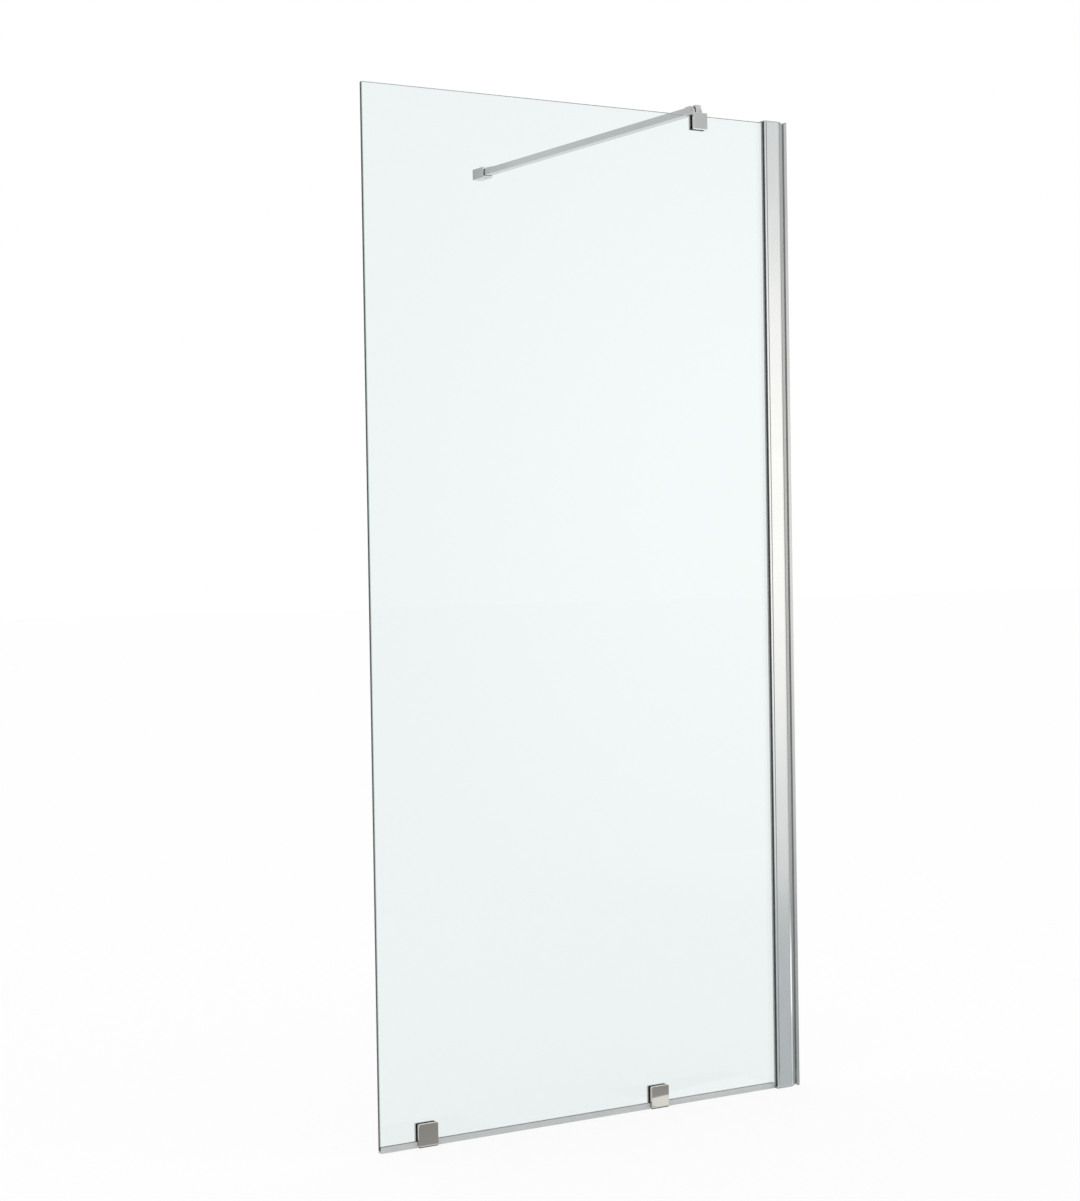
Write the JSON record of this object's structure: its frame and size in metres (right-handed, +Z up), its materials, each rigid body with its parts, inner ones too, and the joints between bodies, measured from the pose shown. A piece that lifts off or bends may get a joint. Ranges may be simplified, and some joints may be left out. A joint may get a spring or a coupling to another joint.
{
  "type": "shower screen",
  "caption": "Fixed frameless glass shower screen with a telescoping wall profile, floor clamps under its bottom edge and a square brace bar running back to a wall bracket.",
  "frame": {"origin": "on the finished face of the wall that carries the channel, at the middle of the glass thickness, at floor level", "axes": "+X points into the wall that carries the channel, so the glass runs to -X; +Y runs along the brace bar to the wall behind the screen; +Z is up"},
  "size_m": [0.98, 0.9148, 2.0256],
  "materials": {
    "clear_glass": "clear float glass with polished edges",
    "bright_aluminium": "bright anodised",
    "polished_chrome": "polished",
    "satin_nickel": "finely brushed, slightly warm",
    "stainless_steel": "satin",
    "grey_cap": "matte",
    "seal_vinyl": "translucent grey vinyl",
    "black_rubber": "matte",
    "white_nylon": "matte"
  },
  "bodies": {
    "wall_side": {"wall_channel": "bright_aluminium", "channel_top_cap": "grey_cap", "channel_bottom_cap": "grey_cap", "profile_lock_screws": "stainless_steel"},
    "screen": {"bottom_seal_left": "seal_vinyl", "bottom_seal_middle": "seal_vinyl", "bottom_seal_right": "seal_vinyl", "cover_strip_front": "bright_aluminium", "cover_strip_rear": "bright_aluminium", "glass_edge_blocks": "black_rubber", "glass_panel": "clear_glass", "glass_profile": "bright_aluminium", "glass_setting_block": "black_rubber", "glazing_gasket_front": "black_rubber", "glazing_gasket_rear": "black_rubber", "left_clamp_bush": "white_nylon", "left_clamp_foot_pad": "black_rubber", "left_clamp_front_gasket": "black_rubber", "left_clamp_front_plate": "satin_nickel", "left_clamp_rear_bracket": "satin_nickel", "left_clamp_rear_gasket": "black_rubber", "left_clamp_screw": "stainless_steel", "left_clamp_setting_pad": "black_rubber", "profile_bottom_cap": "grey_cap", "profile_top_cap": "grey_cap", "right_clamp_bush": "white_nylon", "right_clamp_foot_pad": "black_rubber", "right_clamp_front_gasket": "black_rubber", "right_clamp_front_plate": "satin_nickel", "right_clamp_rear_bracket": "satin_nickel", "right_clamp_rear_gasket": "black_rubber", "right_clamp_screw": "stainless_steel", "right_clamp_setting_pad": "black_rubber"},
    "top_clamp": {"top_clamp_body": "polished_chrome", "top_clamp_front_pad": "black_rubber", "top_clamp_grub_screws": "stainless_steel", "top_clamp_pressure_plate": "stainless_steel", "top_clamp_rear_pad": "black_rubber", "swivel_washer": "white_nylon"},
    "brace": {"swivel_neck": "polished_chrome", "swivel_neck_screw": "stainless_steel", "fork_cross_pin": "stainless_steel", "bar_fork": "polished_chrome", "support_bar": "polished_chrome", "bar_lock_screws": "stainless_steel", "bar_wall_connector": "polished_chrome"},
    "wall_bracket": {"wall_bracket_body": "polished_chrome", "wall_bracket_boss": "polished_chrome", "wall_bracket_grub_screw": "stainless_steel", "wall_bracket_pin": "stainless_steel", "wall_bracket_washers": "white_nylon"}
  },
  "joints": [
    {"name": "screen_slide", "type": "slide", "parent": "wall_side", "child": "screen", "axis": [1, 0, 0], "range_m": [-0.009, 0.009]},
    {"name": "top_clamp_slide", "type": "slide", "parent": "screen", "child": "top_clamp", "axis": [1, 0, 0], "range_m": [-0.7, 0.1]},
    {"name": "brace_swivel", "type": "hinge", "parent": "top_clamp", "child": "brace", "pos_m": [-0.216, 0, 2.0056], "axis": [0, 0, 1], "range_deg": [-45, 45]},
    {"name": "wall_bracket_swivel", "type": "hinge", "parent": "brace", "child": "wall_bracket", "pos_m": [-0.216, 0.861, 2.0131], "axis": [0, 0, 1], "range_deg": [-25, 25]}
  ]
}
